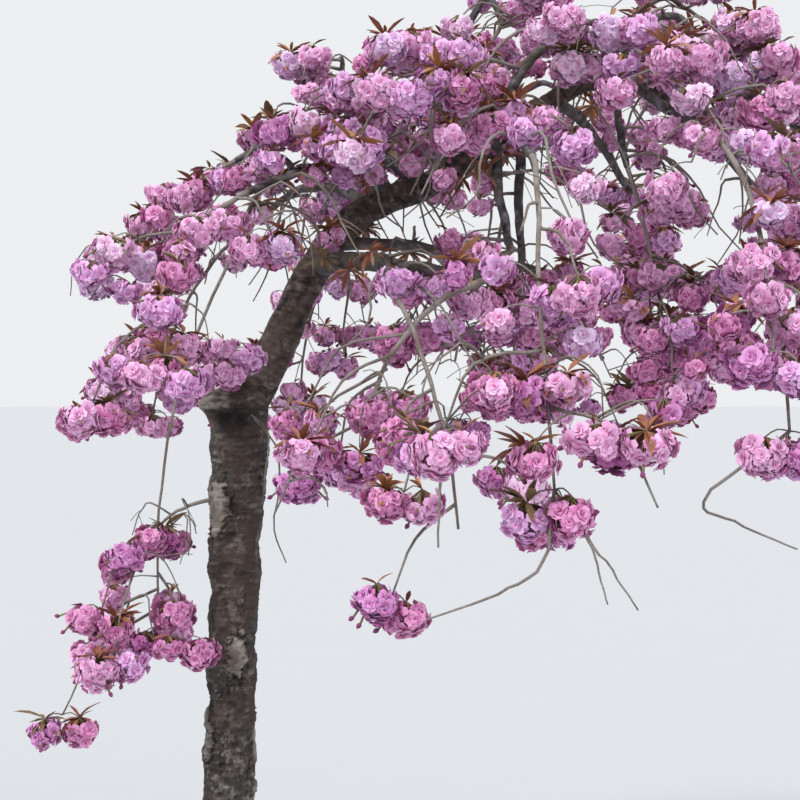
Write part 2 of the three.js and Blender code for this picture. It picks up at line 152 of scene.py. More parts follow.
# Masses of blossom, one for each limb's tip, with what differs from their kind.
# A gap is what lies along a stem or twig between the places where a finer twig may leave.
MASS = {"run": 620, "fall": -84, "bare": 0.05, "twigs": 5, "spread": 270, "lift": 30, "sway": 12,
        "hang": -0.3, "size": 1, "gap": 32}
HIGH = {**MASS, "run": 330, "fall": -35, "spread": 230, "lift": 55, "hang": 0.3, "size": 0.8}
MASS_CHANGES = {
    "main_limb_arch": dict(run=260, gap=21),
    "bough_right": dict(gap=26),
    "bough_back_left": dict(gap=60),
    "bough_left_back": dict(gap=60),
    "bough_left": dict(run=330, fall=-60, spread=220, hang=0, gap=70),
    "bough_left_front": dict(run=370, gap=70),
    "bough_front": dict(run=750),
    "bough_front_right": dict(run=690, facing=276, gap=24),
    "bough_right_front": dict(run=700, gap=24),
    "bough_low_front": dict(run=500, facing=205, size=0.85, gap=400),
    "bough_low_back": dict(run=430, twigs=4),
    "shoulder_left": dict(gap=60),
    "shoulder_front_right": dict(gap=21),
    "crest_loop": dict(run=160),
    "crest_top": dict(gap=21),
    "shoot_left": dict(run=80, spread=100, lift=20, twigs=1),
    "arch_droop": dict(run=430, gap=21),
    "inner_front": dict(run=330, twigs=4),
    "inner_back": dict(run=380),
    "hang_left": dict(run=860, fall=-94, bare=0.7, spread=280, lift=30, size=0.8, gap=200),
    "hang_low": dict(run=560, facing=296, bare=0.4, spread=230, size=0.85, gap=400),
    "trunk_spur": dict(run=170, fall=-50, bare=0.6, spread=70, twigs=1, size=0.6),
}
MASSES = {
    name: {**(HIGH if group_of(name) == "top" else MASS), **MASS_CHANGES.get(name, {})}
    for name in ("main_limb_arch", *BOUGHS, "trunk_spur")
}
FIRST_SEED = 11
STEM_STRAIGHT = 14
STEM_STEPS = 4
STEM_SHARE = 0.9
TWIG_ROOM = 5  # kept free around a twig in a mass
TWIG_STEPS = 2
TWIG_FALL = -75
TWIG_TRIES = 90
EVEN_SPREAD = 0.618
BALL_RADIUS = 72
BALL_APART = 1.75

# Bark meshes, as sides and rows
TRUNK_GRID = (100, 470)
MAIN_GRID = (40, 380)
BOUGH_GRID = (12, 44)
COLLAR = {"size": 0.32, "reach": 3}  # the swelling at a limb's foot, in shares of its radius
BOUGH_WANDER = 9
KNOTS = [  # height, azimuth, size and rise, or the depth of a pit
    (1592, 192, 34, 11), (1556, 240, 26, -15), (1568, 278, 26, -12), (1530, 262, 24, 8),
    (1505, 200, 30, 9), (1476, 250, 30, 7), (1405, 268, 26, 8), (1346, 262, 26, -12),
    (1306, 238, 24, 12), (1282, 264, 20, -10), (1262, 226, 26, 13), (1246, 288, 26, 10),
    (1236, 256, 20, 12), (1208, 215, 26, 11), (1212, 246, 18, -9), (1196, 272, 26, 9),
    (1105, 320, 28, 8), (1060, 250, 34, 7), (980, 215, 26, 9), (860, 15, 32, 8), (700, 250, 30, 9),
    (520, 100, 36, 10), (330, 290, 34, 10), (1250, 80, 28, 10), (1420, 120, 34, 9),
]
LOOSE_PLATES = [  # height, azimuth, half height and half width
    (1352, 222, 60, 34), (1420, 20, 50, 30), (1120, 120, 75, 32), (1010, 288, 48, 20), (830, 205, 60, 24),
    (760, 20, 80, 34), (560, 300, 60, 24), (420, 170, 75, 30), (300, 60, 60, 30), (240, 250, 45, 24),
]
LEDGE = {"height": 1574, "azimuth": 220, "half": 68}  # the old graft's overhanging lip
# The hollow below the lip and each pit are darkened as painted shade
HOLLOW = {"low": 1500, "azimuth": 258, "half": 48}  # the dark place below it
PIT_SHADE = 0.03  # darker for each millimetre of a pit's depth

# How far the forms of bark stand out, and how much paler they are; the darker cracks, gaps and hollow are
# painted shade
BARK_RISE = {"swells": 10, "bands": 1.8, "grain": 1.2, "flakes": 2.8, "cracks": -4}
EDGE_RISE = {"plates": 6, "gaps": -3, "ledge": 9, "hollow": -12}
BARK_SHADE = {"bands": 0.3, "grain": 0.2, "flakes": 0.2, "plates": 0.36, "ledge": 0.3,
              "cracks": -0.34, "gaps": -0.45, "hollow": -0.5}
LIMB_RISE = {"swells": 1.5, "rings": 0.5, "flakes": 0.5, "cracks": -0.9}
LIMB_SHADE = {"rings": 0.3, "flakes": 0.4, "cracks": -0.3}

# Blossom. A spray is a cluster of hanging double flowers under a tuft of young leaves.
SPRAYS_A_BALL = 3
LOOSE_SPRAYS = 2  # in a ball of a loose mass, whose gap is wider than LOOSE_GAP
LOOSE_GAP = 150
SPRAY_SPREAD = 0.6  # of a ball's radius, from its centre to the middle of a spray
SPRAY_ROOM = 32  # kept free around its middle
SPRAY_APART = 78
SPRAY_DROP = (20, 32)  # from its root down to its middle
SPRAY_SIZE = (0.95, 1.15)
SIDE_SIZE = (0.66, 1.0)  # of those on finer twigs and spurs
SPRAY_STRETCH = [(0.85, 1.2), (0.85, 1.2), (0.78, 1.05)]  # along x, y and z
FLOWERS = 15  # in a spray of size 1
FLOWER_OUT = 36  # from its middle to the middle of a flower
FLOWER_RADIUS = (16, 20)
FLOWER_LOOK = 0.35  # how far a flower looks to one side
FLOWER_BACK = 0.42  # of its radius, from its middle to its foot
HIDDEN = 0.8  # a flower nearer than this share to another spray's middle is left out
FLOWER_KINDS = 8
BUD_LENGTH = 13
BUD_OUT = 1.35  # of a spray's reach
BUD_SHADE = 5
# A spray's tint, set partly by painted light and shade, picks the first of these shades for its flowers
LILAC_SHADES = [  # petals from pale to deep, each with a second colour that it drifts to
    ("e9ceeb", "e2bee5"), ("e3b4e1", "daa3d6"), ("d998ce", "cc83c1"), ("c773b3", "b760a5"),
    ("a84d8f", "94407e"), ("802e6a", "6c2458"), ("5b1f4c", "4f1942"),
]
PINK_SHADES = [
    ("eecfe8", "e7bfe0"), ("e8b5dc", "dfa4d0"), ("de99c6", "d084b8"), ("cb73ab", "bb609c"),
    ("ab4e87", "974075"), ("842e65", "6f2453"), ("5d1f48", "51193e"),
]
# A spray's tint: paler high up and on the outside of the crown, as painted light, and deeper low and
# inside, as painted shade, with a random spread
TINT = {"height": 1900, "span": 900, "middle": 1.6, "spread": 0.55, "deepest": 3}
STALK_RADIUS = 0.9

# Leaves, on a spray or in a larger tuft
LEAF_SHADES = [("824e3c", "a06a4a"), ("6e5840", "88704c"), ("966040", "b48454")]
LEAF_FORMS = [(0.5, 0.12), (0.35, 0.28), (0.75, 0.04)]  # how far each kind folds, and droops
FEW_LEAVES = {"count": (1, 4), "length": (22, 48)}
TUFT = {"count": (13, 22), "length": (32, 72)}
LEAFY_SHARE = 0.27  # of the sprays, with a large tuft

# Twigs. The four numbers in a row are the first and last radius, sides and steps of one.
SPUR_GAP = 40  # between the places along a limb where a spur may leave
SPUR_LENGTH = (35, 90)
SPUR_TWIG = (2.3, 1.5, 3, 5)
SIDE_TWIG = {"length": (45, 130), "pitch": (-50, 35), "spread": 75}
TUFT_TWIG = (2.3, 1.6, 3, 3)
SPRAY_TWIG = (1.9, 1.4, 3, 4)
UNION_TWIG = (2.6, 1.5, 3, 5)
BRANCH_GAP = 190  # between side branches, along a bough
BRANCH_LENGTH = (110, 260)
BRANCH_PITCHES = (35, 5, -35)
BRANCH_TWIG = (4, 2, 4, 9)
BARE_SHARE = 0.35  # of a bough, before its first side branch
BARE_TWIGS = 4  # finer twigs in each mass that carry nothing
BARE_TWIG = {"length": (90, 260), "pitches": (25, -35, -75), "radii": (2.6, 1.3)}
HANGING_TWIGS = 3  # the same below each limb, inside the crown
HANGING_TWIG = {"length": (200, 480), "pitches": (5, -40, -65, -45), "radii": (4.4, 1.9)}
LONE_TWIG = (3.2, 1.6, 4, 16)
LONE_ROUTES = [  # long bare ones that stand out below the crown, from the nearest limb or stem
    [(660, -1200, 1335), (577, -1190, 1283), (475, -1180, 1245)],
    [(737, -1200, 1370), (753, -1205, 1320), (766, -1200, 1272)],
    [(744, -1200, 1365), (772, -1190, 1328), (817, -1185, 1261)],
    [(946, -1050, 1422), (1008, -1050, 1389), (1109, -1040, 1346)],
    [(148, -110, 1500), (163, -150, 1433), (152, -165, 1307), (178, -165, 1235)],
    [(134, -120, 1520), (128, -150, 1420)],
]
UNION_SPRAYS = [(32, -128, 1716), (88, -132, 1694), (50, -160, 1660), (4, -112, 1664)]
FRONT_SPURS = {
    "run": (0.35, 0.6), "count": 11, "azimuth": (235, 300), "pitch": (-15, 60), "length": (70, 125),
}

# The crown's reach, and the clear runs through it. Each run is an ellipse at the front and one at the
# back, OPEN_DEPTH from the middle, as x, height, half width and half height.
CROWN_LOW = (-370, -1315)
CROWN_HIGH = (1990, 1251)
OPEN_DEPTH = 1200
OPENINGS = [
    ((420, 1870, 90, 75), (410, 2115, 170, 140)),
    ((630, 1900, 65, 110), (810, 2180, 130, 215)),
    ((495, 1640, 75, 50), (555, 1675, 140, 90)),
    ((765, 1650, 50, 45), (1070, 1700, 100, 85)),
    ((950, 1960, 70, 50), (1425, 2295, 135, 90)),
    ((700, 2090, 75, 40), (950, 2540, 140, 75)),
    ((795, 2035, 20, 60), (1125, 2435, 45, 115)),
    ((875, 1390, 100, 65), (1280, 1195, 190, 125)),
    ((535, 1360, 70, 65), (630, 1140, 135, 130)),
    ((210, 1395, 65, 60), (10, 1205, 125, 115)),
    ((130, 1780, 50, 40), (-145, 1945, 100, 75)),
    ((-50, 1730, 70, 55), (-495, 1850, 135, 105)),
]


# Small helpers, in millimetres

def norms(vectors):
    return np.linalg.norm(vectors, axis=1)


def columns(rows):
    return [np.array(values) for values in zip(*rows)]


def arc(start, end, rise):
    """The corners of a short twig that rises over its middle."""
    return [start, (start + end) / 2 + (0, 0, rise), end]


def heading(azimuth, pitch):
    turn, lift = radians(azimuth), radians(pitch)
    return np.array([cos(turn) * cos(lift), sin(turn) * cos(lift), sin(lift)])


def unit(vector):
    return vector / np.linalg.norm(vector)


def seeded(seed):
    """Numbers that look random but are the same each time for one seed, as for the solids."""
    state = seed * 2654435761 % 2**32

    def draw(low, high):
        nonlocal state
        state = (state * 1664525 + 1013904223) % 2**32
        return low + (high - low) * (state / 2**32)

    return draw


def hump(value, centre, half):
    """A smooth hump of height 1 at a centre, gone beyond its half width."""
    off = np.minimum(np.abs(value - centre) / half, 1)
    return 0.5 + 0.5 * np.cos(np.pi * off)


def smooth_step(value, low, high):
    share = np.clip((value - low) / (high - low), 0, 1)
    return share * share * (3 - 2 * share)


def lengths_of(line):
    return np.concatenate([[0], np.cumsum(norms(np.diff(line, axis=0)))])


def along(line, share):
    """A place at a share of a line's length, or several of them."""
    lengths = lengths_of(line)
    wanted = np.asarray(share) * lengths[-1]
    return np.stack([np.interp(wanted, lengths, line[:, axis]) for axis in range(3)], axis=-1)


def spline(corners, count):
    """A centripetal spline through corners, as count + 1 points."""
    corners = np.array(corners, float)
    padded = np.vstack([2 * corners[0] - corners[1], corners, 2 * corners[-1] - corners[-2]])
    line = []
    for k in range(count + 1):
        at = k * (len(corners) - 1) / count
        i = min(int(at), len(corners) - 2)
        t = at - i
        a, b, c, d = padded[i:i + 4]
        ab, bc, cd = (np.linalg.norm(end - start) ** 0.5 for start, end in ((a, b), (b, c), (c, d)))
        out = ((b - a) / ab - (c - a) / (ab + bc) + (c - b) / bc) * bc
        back = ((c - b) / bc - (d - b) / (bc + cd) + (d - c) / cd) * bc
        square = t**2 * (3 * c - 3 * b - 2 * out - back)
        line.append(b + t * out + square + t**3 * (2 * b - 2 * c + out + back))
    return np.array(line)


def bezier(start, first, second, end, count):
    t = np.linspace(0, 1, count + 1)[:, None]
    return (1 - t)**3 * start + 3 * (1 - t)**2 * t * first + 3 * (1 - t) * t**2 * second + t**3 * end


# Trunk and limbs

def trunk_centre(z):
    share = z / TRUNK_HEIGHT
    return np.stack([TRUNK_LEAN * share**0.8, TRUNK_BOW * np.sin(np.pi * share), z], axis=-1)


def trunk_radius(z, turn):
    def at_union(form):
        return form["size"] * hump(z, UNION_HEIGHT - form["below"], form["half"])
    roots = 0.5 + 0.5 * np.cos(ROOTS * turn + 0.7)
    left = np.maximum(0, -np.cos(turn))
    scarred = np.maximum(0, np.cos(turn - radians(SCAR["azimuth"])))
    return (TRUNK_RADIUS
            + FLARE * np.exp(-z / FLARE_HEIGHT) * (0.55 + 0.45 * roots)
            + BARK_WAVE["size"] * np.sin(z / BARK_WAVE["height"] + 2 * turn)
            + at_union(UNION_SWELL)
            + left**2 * at_union(LIP)
            - scarred**2 * at_union(SCAR))


def trunk_spur():
    way = heading(SPUR["azimuth"], SPUR["pitch"])
    reach = trunk_radius(SPUR["height"], radians(SPUR["azimuth"])) / cos(radians(SPUR["pitch"]))
    tip = trunk_centre(SPUR["height"]) + way * (reach + CLEARANCE)
    return {"line": np.array([tip, tip + way]), "radii": (0, SPUR["radius"]), "tip": tip, "way": way}


def limb_of(line, *radii):
    return {"line": line, "radii": radii, "tip": line[-1], "way": unit(line[-1] - line[-2])}


def grow_limbs(main_line):
    limbs = {}
    for i, name in enumerate(MAIN_NAMES):
        shares = np.linspace(*MAIN_SPLITS[i:i + 2], MAIN_STEPS + 1)
        limbs[name] = limb_of(along(main_line, shares), *MAIN_RADII[i:i + 2])
    for name, rule in BOUGHS.items():
        parent = main_line if rule["parent"] == "main" else limbs[rule["parent"]]["line"]
        start = along(parent, rule["leaves"])
        end = heading(rule["azimuth"], 0) * rule["out"] * CROWN_REACH + (CROWN_AXIS, 0, rule["height"])
        level = (end - start) * (1, 1, 0)
        first, second = (start + level * share for share in BOUGH_BENDS)
        first[2] = start[2] + rule["crest"]
        second[2] = end[2] + 0.5 * rule["crest"]
        corners = (start, first, second, end)
        limbs[name] = limb_of(bezier(*corners, BOUGH_STEPS), rule["thick"], rule["thin"])
        limbs[name]["fine"] = bezier(*corners, BOUGH_GRID[1])
    limbs["trunk_spur"] = trunk_spur()
    return limbs


class Rods:
    """The straight lengths of many tapering rods, to measure how far places are from each rod."""

    def __init__(self, rods):
        lines = [rod["line"] for rod in rods]
        radii = [rod["radii"] for rod in rods]
        steps = [len(line) - 1 for line in lines]
        self.starts = np.concatenate([line[:-1] for line in lines])
        self.runs = np.concatenate([np.diff(line, axis=0) for line in lines])
        self.first = np.concatenate([a + (b - a) * np.arange(n) / n for (a, b), n in zip(radii, steps)])
        self.change = np.concatenate([np.full(n, (b - a) / n) for (a, b), n in zip(radii, steps)])
        self.rows = np.concatenate([[0], np.cumsum(steps)[:-1]])

    def distances(self, places):
        offsets = places[:, None] - self.starts
        share = np.clip((offsets * self.runs).sum(2) / (self.runs**2).sum(1), 0, 1)
        off = np.linalg.norm(offsets - share[..., None] * self.runs, axis=2)
        gaps = off - self.first - self.change * share
        return np.minimum.reduceat(gaps, self.rows, axis=1)


# Growth, by the rule of the solids

def bend(start, azimuth, pitch, end_pitch, length, steps, sway, draw):
    """A line that sets out at one pitch and bends over to another, swaying from side to side."""
    line = [start]
    for k in range(steps):
        share = ((k + 0.5) / steps) ** 0.75
        azimuth += draw(-sway, sway)
        line.append(line[-1] + heading(azimuth, pitch + (end_pitch - pitch) * share) * length / steps)
    return line


class Growth:
    """All masses, each with its stem, twigs and balls of blossom, grown clear of limbs and each other."""

    def __init__(self, limbs):
        self.bark = Rods(limbs.values())
        self.masses = [
            self.started(name, rule, limbs[name], seed)
            for seed, (name, rule) in enumerate(MASSES.items(), FIRST_SEED)
        ]
        self.stems = Rods(self.masses)
        for mass in self.masses:
            self.fill(mass)

    def bark_distances(self, places):
        centres = trunk_centre(np.clip(places[:, 2], 0, TRUNK_HEIGHT))
        flare = np.where(places[:, 2] < 3 * FLARE_HEIGHT, FLARE, 0)
        off_trunk = norms(places - centres) - TRUNK_RADIUS - LIP["size"] - flare
        return np.minimum(self.bark.distances(places).min(axis=1), off_trunk)

    def fits(self, mass, places, radius):
        """Which places are clear of bark and nearer to their own stem than to any other mass's."""
        gaps = self.stems.distances(places)
        own = gaps[:, mass["number"]] + 2 * radius + MASS_GAP
        gaps[:, mass["number"]] = np.inf
        roomy = (gaps.min(axis=1) > own) & (places[:, 2] > radius)
        return roomy & (self.bark_distances(places) > radius + MASS_GAP)

    def clear_run(self, mass, start, end, radius):
        checks = ceil(np.linalg.norm(end - start) / 12)
        shares = np.arange(1, checks + 1)[:, None] / checks
        return self.fits(mass, start + (end - start) * shares, radius).all()

    def started(self, name, rule, limb, seed):
        draw = seeded(seed)
        tip, way = limb["tip"], limb["way"]
        azimuth = rule.get("facing", degrees(atan2(tip[1], tip[0] - CROWN_AXIS)))
        pitch = degrees(asin(way[2]))
        start = tip + way * CLEARANCE
        bent = bend(start + way * STEM_STRAIGHT, azimuth, pitch, rule["fall"], rule["run"], STEM_STEPS,
                    rule["sway"], draw)
        stem = np.array([start, *bent])
        while len(stem) > 3 and self.bark_distances(stem[-1:])[0] < 2 * STEM_STRAIGHT:
            stem = stem[:-1]
        radius = STEM_SHARE * limb["radii"][1]
        return {"name": name, "number": seed - FIRST_SEED, "rule": rule, "draw": draw, "azimuth": azimuth,
                "line": stem, "radii": (0, 0), "radius": radius, "twigs": [], "balls": []}

    def add_ball(self, mass, place):
        draw, rule = mass["draw"], mass["rule"]
        radius = rule["size"] * BALL_RADIUS * draw(0.88, 1.12)
        centre = place + (0, 0, rule["hang"] * radius)
        apart = BALL_APART * rule["size"] * BALL_RADIUS
        crowded = any(np.linalg.norm(ball["centre"] - centre) < apart for ball in mass["balls"])
        if crowded or not self.fits(mass, centre[None], radius)[0]:
            return False
        mass["balls"].append({"centre": centre, "radius": radius, "place": place})
        for turn in ("azimuth", "pitch"):  # of the ball in the solids, drawn to stay in step with them
            draw(0, 360)
        return True

    def add_twig(self, mass, share, side):
        rule, draw = mass["rule"], mass["draw"]
        turn = side * draw(20, 165 - 80 * share)
        lift = rule["lift"] * (1 - share) + draw(-15, 20)
        length = rule["spread"] * draw(0.4, 1.25)
        foot = along(mass["line"], share)
        twig = bend(foot, mass["azimuth"] + turn, lift, TWIG_FALL, length, TWIG_STEPS, rule["sway"], draw)
        if not self.clear_run(mass, twig[0] + (twig[1] - twig[0]) * 0.3, twig[1], TWIG_ROOM):
            return
        if not self.clear_run(mass, twig[1], twig[2], TWIG_ROOM):
            twig.pop()
        if not self.add_ball(mass, twig[-1]):
            return
        mass["twigs"].append(np.array(twig))
        if len(twig) > 2:
            self.add_ball(mass, twig[1])

    def fill(self, mass):
        bare = mass["rule"]["bare"]
        self.add_ball(mass, mass["line"][-1])
        for k in range(TWIG_TRIES):
            if len(mass["twigs"]) < mass["rule"]["twigs"]:
                self.add_twig(mass, bare + (0.95 - bare) * (k * EVEN_SPREAD % 1), 1 if k % 2 else -1)
        for i in range(len(mass["line"]) - 2, 1, -1):
            if i > 1 + bare * STEM_STEPS:
                self.add_ball(mass, mass["line"][i])


# Meshes. A chunk is a list of points in millimetres and a list of faces, each with a slot number.

def make_object(name, data):
    made = bpy.data.objects.new(name, data)
    bpy.context.scene.collection.objects.link(made)
    return made


def make_piece(name, chunks, materials, values=None):
    """One joined mesh from chunks, with a number for each point kept as an attribute: the bark's tone, with
    painted shade in its cracks, pits and hollows.
    """
    bases = np.concatenate([[0], np.cumsum([len(chunk[0]) for chunk in chunks])[:-1]])
    points = np.concatenate([chunk[0] for chunk in chunks]) * MM
    corners = np.concatenate([chunk[1] + base for chunk, base in zip(chunks, bases)])
    slots = np.concatenate([np.broadcast_to(chunk[2], len(chunk[1])) for chunk in chunks])
    mesh = bpy.data.meshes.new(name)
    mesh.vertices.add(len(points))
    mesh.vertices.foreach_set("co", points.astype(np.float32).ravel())
    mesh.loops.add(corners.size)
    mesh.loops.foreach_set("vertex_index", corners.astype(np.int32).ravel())
    mesh.polygons.add(len(corners))
    mesh.polygons.foreach_set("loop_start", np.arange(0, corners.size, 3, dtype=np.int32))
    mesh.polygons.foreach_set("material_index", slots.astype(np.int32))
    mesh.polygons.foreach_set("use_smooth", np.ones(len(corners), bool))
    for material in materials:
        mesh.materials.append(material)
    if values is not None:
        tone_and_painted_shade = mesh.attributes.new("tone_and_painted_shade", "FLOAT", "POINT")
        tone_and_painted_shade.data.foreach_set("value", values.astype(np.float32))
    mesh.update(calc_edges=True)
    return make_object(name, mesh)


def grid_faces(rows, sides):
    """The faces of a closed skin over rings of points that turn left about the way up them."""
    ring = np.arange(sides)
    after = (ring + 1) % sides
    one = np.stack([ring, after, after + sides], axis=1)
    two = np.stack([ring, after + sides, ring + sides], axis=1)
    pair = np.concatenate([one, two])
    skin = (pair[None] + sides * np.arange(rows - 1)[:, None, None]).reshape(-1, 3)
    foot = np.stack([np.zeros(sides - 2, int), ring[2:], ring[1:-1]], axis=1)
    top = np.stack([np.zeros(sides - 2, int), ring[1:-1], ring[2:]], axis=1) + sides * (rows - 1)
    return np.concatenate([skin, foot, top])


def frames_along(line):
    """Two directions square to a line at each of its points, turning as little as they can."""
    last = len(line) - 1
    ways = [unit(line[min(i + 1, last)] - line[max(i - 1, 0)]) for i in range(last + 1)]
    side = np.array([0, 0, 1.0] if abs(ways[0][2]) < 0.8 else [1.0, 0, 0])
    sides = []
    for way in ways:
        side = unit(side - way * side.dot(way))
        sides.append(side)
    return np.array(sides), np.cross(ways, sides)


def tube(line, radii, sides):
    """A chunk for a round rod along a line, with a radius for each point or for each corner."""
    side, other = frames_along(line)
    turn = 2 * np.pi * np.arange(sides) / sides
    radii = np.broadcast_to(np.asarray(radii).reshape(len(line), -1), (len(line), sides))
    out = side[:, None] * np.cos(turn)[:, None] + other[:, None] * np.sin(turn)[:, None]
    points = line[:, None] + out * radii[..., None]
    return points.reshape(-1, 3), grid_faces(len(line), sides), 0


def copies(points, faces, slots, turns, places):
    """A chunk with a copy of some points and faces for each turn and place."""
    moved = np.einsum("nij,vj->nvi", turns, points) + places[:, None]
    corners = faces + len(points) * np.arange(len(places))[:, None, None]
    return moved.reshape(-1, 3), corners.reshape(-1, 3), np.tile(slots, len(places))


# Materials

def srgb(text):
    """The linear colour of a six-digit code."""
    levels = [int(text[i:i + 2], 16) / 255 for i in (0, 2, 4)]
    return tuple(c / 12.92 if c <= 0.04045 else ((c + 0.055) / 1.055) ** 2.4 for c in levels) + (1,)


def grey(level):
    return (level, level, level, 1)


def feed(tree, socket, value):
    """Gives a node's input a value, or another node's output."""
    if isinstance(value, bpy.types.NodeSocket):
        tree.links.new(value, socket)
    else:
        socket.default_value = value


def add_node(tree, kind, **inputs):
    node = tree.nodes.new("ShaderNode" + kind)
    for name, value in inputs.items():
        feed(tree, node.inputs[name], value)
    return node


def new_material(name, roughness, sheen=0):
    material = bpy.data.materials.new(name)
    material.use_nodes = True
    shader = material.node_tree.nodes["Principled BSDF"]
    shader.inputs["Roughness"].default_value = roughness
    shader.inputs["Sheen Weight"].default_value = sheen
    return material, material.node_tree, shader


def noise_node(tree, scale, detail=3.0, stretch=(1, 1, 1)):
    place = add_node(tree, "TexCoord").outputs["Object"]
    mapped = add_node(tree, "Mapping", Scale=stretch, Vector=place).outputs["Vector"]
    return add_node(tree, "TexNoise", Scale=scale, Detail=detail, Vector=mapped).outputs["Fac"]


def ramp_node(tree, value, stops):
    ramp = add_node(tree, "ValToRGB", Fac=value)
    elements = ramp.color_ramp.elements
    while len(elements) < len(stops):
        elements.new(0.5)
    for element, (position, colour) in zip(elements, stops):
        element.position = position
        element.color = colour
    return ramp.outputs["Color"]


def mix_node(tree, share, first, second, blend="MIX"):
    mix = tree.nodes.new("ShaderNodeMix")
    mix.data_type = "RGBA"
    mix.blend_type = blend
    for number, value in ((0, share), (6, first), (7, second)):  # the inputs that mix colours
        feed(tree, mix.inputs[number], value)
    return mix.outputs[2]


def bump_node(tree, shader, height, strength, distance):
    bump = add_node(tree, "Bump", Strength=strength, Distance=distance, Height=height)
    tree.links.new(bump.outputs["Normal"], shader.inputs["Normal"])


def bark_material(name, dark, mid, pale, patch, grain, stretch=(1, 1, 1)):
    """Bark coloured from dark to pale by its tone, whose darkest parts are painted shade in cracks, pits
    and hollows, with patches of another colour and a fine grain.
    """
    material, tree, shader = new_material(name, 0.88)
    tone_and_painted_shade = add_node(tree, "Attribute")
    tone_and_painted_shade.attribute_name = "tone_and_painted_shade"
    # The dark stop is painted shade, where the tone is low in cracks, pits, gaps and hollows
    stops = [(0.14, srgb(dark)), (0.5, srgb(mid)), (0.88, srgb(pale))]
    plates = ramp_node(tree, tone_and_painted_shade.outputs["Fac"], stops)
    share = ramp_node(tree, noise_node(tree, 14, 5), [(0.45, grey(0)), (0.62, grey(0.75))])
    patched = mix_node(tree, share, plates, srgb(patch))
    fine = noise_node(tree, grain, 6, stretch)
    speckled = ramp_node(tree, fine, [(0.3, (0.35, 0.33, 0.32, 1)), (0.65, grey(1))])
    tree.links.new(mix_node(tree, 0.7, patched, speckled, "MULTIPLY"), shader.inputs["Base Color"])
    bump_node(tree, shader, fine, 0.6, 0.0015)
    return material


def soft_material(name, colours, share, scale, roughness, sheen=0):
    """A petal or leaf: one colour that drifts a little towards a second one, with fine veins as bumps."""
    material, tree, shader = new_material(name, roughness, sheen)
    drift = ramp_node(tree, noise_node(tree, scale), [(0.35, grey(0)), (0.7, grey(share))])
    tree.links.new(mix_node(tree, drift, *map(srgb, colours)), shader.inputs["Base Color"])
    bump_node(tree, shader, noise_node(tree, scale * 4, 4), 0.35, 0.0006)
    return material


# Bark, with real bumps in its mesh, and its tone with painted shade in cracks, pits and hollows

def noise_field(points, size, octaves=1):
    """Smooth noise at each of many places, with forms of about a size, or one along each of x, y and z."""
    return np.array([noise.fractal(Vector(place), 0.8, 2.2, octaves) for place in points / size])


def wander(points):
    """A smooth random step for each of many places."""
    return np.column_stack([noise_field(points + shift, 1) for shift in (0, 31.7, 67.3)])


def off_azimuth(angle, azimuth):
    """How far angles are from an azimuth, in degrees."""
    return np.degrees(np.angle(np.exp(1j * (angle - radians(azimuth)))))


def loose_bark(height, angle, ragged):
    """1 on the loose plates of bark and 0 off them, and 1 in the gaps along their torn edges."""
    edge = np.full(len(height), -9.0)
    for plate_height, azimuth, tall, wide in LOOSE_PLATES:
        across = np.radians(off_azimuth(angle, azimuth)) * TRUNK_RADIUS / wide
        edge = np.maximum(edge, 1 - np.hypot(across, (height - plate_height) / tall))
    edge += 0.75 * ragged
    return smooth_step(edge, 0, 0.07), hump(edge, -0.13, 0.13)


def graft_union(height, angle):
    """The share of the overhanging lip and of the hollow below it at each place."""
    near_ledge = hump(off_azimuth(angle, LEDGE["azimuth"]), 0, LEDGE["half"])
    top = LEDGE["height"]
    ledge = near_ledge * smooth_step(height, top, top + 8) * (1 - smooth_step(height, top + 20, top + 60))
    near_hollow = hump(off_azimuth(angle, HOLLOW["azimuth"]), 0, HOLLOW["half"])
    deep = smooth_step(height, HOLLOW["low"], HOLLOW["low"] + 45) * (1 - smooth_step(height, top - 8, top))
    return ledge, near_hollow * deep


def weighted(forms, weights, start=0):
    """Adds up the forms of bark, each by its weight."""
    return sum((weight * forms[name] for name, weight in weights.items()), start)


def trunk_bark(points, angle):
    """How far the bark stands out at each place, and its tone from 0 in a crack to 1 on a loose plate,
    darkened as painted shade in cracks, pits, the gaps along torn plates and the hollow below the lip.
    """
    height = points[:, 2]
    old = 1 - 0.75 * smooth_step(height, 900, 1300)
    crack_noise = noise_field(points + 400, (30, 30, 120), 4)
    forms = {
        "swells": noise_field(points, 62),
        "bands": noise_field(points, (30, 30, 8)),
        "grain": noise_field(points, 6),
        "flakes": smooth_step(noise_field(points, (34, 34, 60), 4), 0.2, 0.26),
        "cracks": old * np.maximum(0, 1 - 10 * abs(crack_noise)) ** 2,
    }
    forms["plates"], forms["gaps"] = loose_bark(height, angle, noise_field(points, 22, 4))
    forms["ledge"], forms["hollow"] = graft_union(height, angle)
    rise = weighted(forms, BARK_RISE) + weighted(forms, EDGE_RISE)
    pits = np.zeros(len(points))
    for knot_height, azimuth, size, knot_rise in KNOTS:
        away = np.hypot(np.radians(off_azimuth(angle, azimuth)) * TRUNK_RADIUS, height - knot_height) / size
        rise += knot_rise * (np.exp(-1.6 * away**2) - 0.6 * (knot_rise > 0) * np.exp(-(2.6 * away) ** 2))
        # each pit's depth, for its painted shade
        pits += min(0, knot_rise) * np.exp(-1.6 * away**2)
    return rise, weighted(forms, BARK_SHADE, PIT_SHADE * pits + 0.42)


